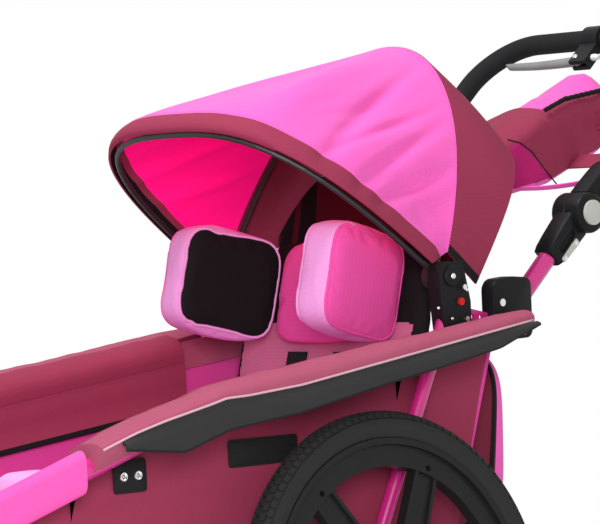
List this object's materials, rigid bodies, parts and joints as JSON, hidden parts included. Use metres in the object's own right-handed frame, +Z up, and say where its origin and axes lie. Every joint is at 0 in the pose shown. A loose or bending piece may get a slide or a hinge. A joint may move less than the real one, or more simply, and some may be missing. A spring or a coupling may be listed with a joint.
{
  "type": "special needs buggy",
  "caption": "Wheeled special needs buggy: a fabric tub on a tube frame, with cambered rear wheels, swivel front wheel, folding hood, winged headrest and tilting push handle.",
  "frame": {"origin": "middle of the bounding box on the ground", "axes": "+Z up, -Y towards the front of the buggy, +X towards its left side"},
  "size_m": [0.722, 1.6382, 0.9872],
  "materials": {
    "pink_paint": "gloss powder coat",
    "black_paint": "satin",
    "black_plastic": "satin moulded",
    "burgundy_fabric": "woven",
    "pink_fabric": "woven",
    "light_pink_fabric": "woven",
    "grey_coated_fabric": "coated",
    "black_webbing": "woven",
    "bright_steel": "zinc plated",
    "tyre_rubber": "moulded",
    "grip_foam": "foam",
    "lever_alloy": "polished",
    "white_plastic": "smooth",
    "grey_plastic": "smooth",
    "red_plastic": "smooth"
  },
  "bodies": {
    "frame": {"left_rail": "pink_paint", "right_rail": "pink_paint", "nose_tube": "pink_paint", "lower_tubes": "pink_paint", "rear_uprights": "pink_paint", "axle_beam": "black_paint", "head_tube": "pink_paint", "hood_brackets": "black_plastic", "hood_gussets": "pink_paint", "fold_blocks": "black_plastic", "left_rail_pad": "burgundy_fabric", "right_rail_pad": "burgundy_fabric", "mud_flaps": "grey_coated_fabric", "tube_sleeves": "pink_fabric", "left_side_panel": "burgundy_fabric", "right_side_panel": "burgundy_fabric", "tub_floor": "burgundy_fabric", "rear_bag": "burgundy_fabric", "side_patches": "black_webbing", "snap_studs": "bright_steel", "seat_cushion": "light_pink_fabric", "pommel": "light_pink_fabric", "footplate": "black_plastic", "frame_screws": "bright_steel", "wheel_axles": "bright_steel"},
    "backrest": {"backrest": "burgundy_fabric", "headrest_pad": "pink_fabric", "left_head_wing": "pink_fabric", "right_head_wing": "pink_fabric", "harness_straps": "black_webbing", "harness_buckle": "white_plastic"},
    "left_wheel": {"left_tyre": "tyre_rubber", "left_rim": "black_plastic", "left_bearings": "bright_steel"},
    "right_wheel": {"right_tyre": "tyre_rubber", "right_rim": "black_plastic", "right_bearings": "bright_steel"},
    "fork": {"front_fork": "pink_paint", "front_axle": "bright_steel"},
    "front_wheel": {"front_tyre": "tyre_rubber", "front_rim": "black_plastic", "front_bearings": "bright_steel"},
    "pushbar": {"push_tubes": "pink_paint", "hinge_bases": "black_plastic"},
    "handle": {"handle_tube": "black_paint", "hinge_caps": "black_plastic", "handle_grip": "grip_foam", "brake_clamp": "black_plastic", "organiser_bag": "burgundy_fabric", "brake_cable": "white_plastic"},
    "brake_lever": {"brake_lever": "lever_alloy"},
    "left_hinge_button": {"left_hinge_button": "grey_plastic"},
    "right_hinge_button": {"right_hinge_button": "grey_plastic"},
    "hood_main": {"main_bow": "black_plastic", "hood_rear_panel": "burgundy_fabric"},
    "hood_front": {"front_bow": "black_plastic", "hood_front_panel": "pink_fabric"},
    "left_hood_button": {"left_hood_button": "red_plastic"},
    "right_hood_button": {"right_hood_button": "red_plastic"}
  },
  "joints": [
    {"name": "left_wheel_spin", "type": "hinge", "parent": "frame", "child": "left_wheel", "pos_m": [0.305, 0.07787, 0.24224], "axis": [0.9877, 0, 0.1564], "continuous": true},
    {"name": "right_wheel_spin", "type": "hinge", "parent": "frame", "child": "right_wheel", "pos_m": [-0.305, 0.07787, 0.24224], "axis": [0.9877, 0, -0.1564], "continuous": true},
    {"name": "fork_swivel", "type": "hinge", "parent": "frame", "child": "fork", "pos_m": [0, -0.71213, 0.36], "axis": [0, 0, 1], "continuous": true},
    {"name": "front_wheel_spin", "type": "hinge", "parent": "fork", "child": "front_wheel", "pos_m": [0, -0.66713, 0.152], "axis": [1, 0, 0], "continuous": true},
    {"name": "pushbar_fold", "type": "hinge", "parent": "frame", "child": "pushbar", "pos_m": [0, 0.37587, 0.578], "axis": [1, 0, 0], "range_deg": [-85, 0]},
    {"name": "handle_tilt", "type": "hinge", "parent": "pushbar", "child": "handle", "pos_m": [0, 0.52824, 0.71811], "axis": [1, 0, 0], "range_deg": [-50, 20]},
    {"name": "brake_lever_pull", "type": "hinge", "parent": "handle", "child": "brake_lever", "pos_m": [-0.008, 0.76527, 0.93607], "axis": [0, 0.6769, -0.7361], "range_deg": [0, 7.5], "stiffness_Nm_per_rad": 2},
    {"name": "left_hinge_press", "type": "slide", "parent": "pushbar", "child": "left_hinge_button", "axis": [-1, 0, 0], "range_m": [0, 0.003], "stiffness_N_per_m": 600},
    {"name": "right_hinge_press", "type": "slide", "parent": "pushbar", "child": "right_hinge_button", "axis": [1, 0, 0], "range_m": [0, 0.003], "stiffness_N_per_m": 600},
    {"name": "hood_main_fold", "type": "hinge", "parent": "frame", "child": "hood_main", "pos_m": [0, 0.25187, 0.645], "axis": [-1, 0, 0], "range_deg": [0, 25], "deforming": ["hood_rear_panel"]},
    {"name": "hood_front_fold", "type": "hinge", "parent": "hood_main", "child": "hood_front", "pos_m": [0, 0.25187, 0.645], "axis": [-1, 0, 0], "range_deg": [0, 60], "deforming": ["hood_front_panel"]},
    {"name": "left_hood_press", "type": "slide", "parent": "frame", "child": "left_hood_button", "axis": [-1, 0, 0], "range_m": [0, 0.0025], "stiffness_N_per_m": 600},
    {"name": "right_hood_press", "type": "slide", "parent": "frame", "child": "right_hood_button", "axis": [1, 0, 0], "range_m": [0, 0.0025], "stiffness_N_per_m": 600},
    {"name": "backrest_recline", "type": "hinge", "parent": "frame", "child": "backrest", "pos_m": [0, 0.16587, 0.285], "axis": [-1, 0, 0], "range_deg": [0, 12]}
  ]
}
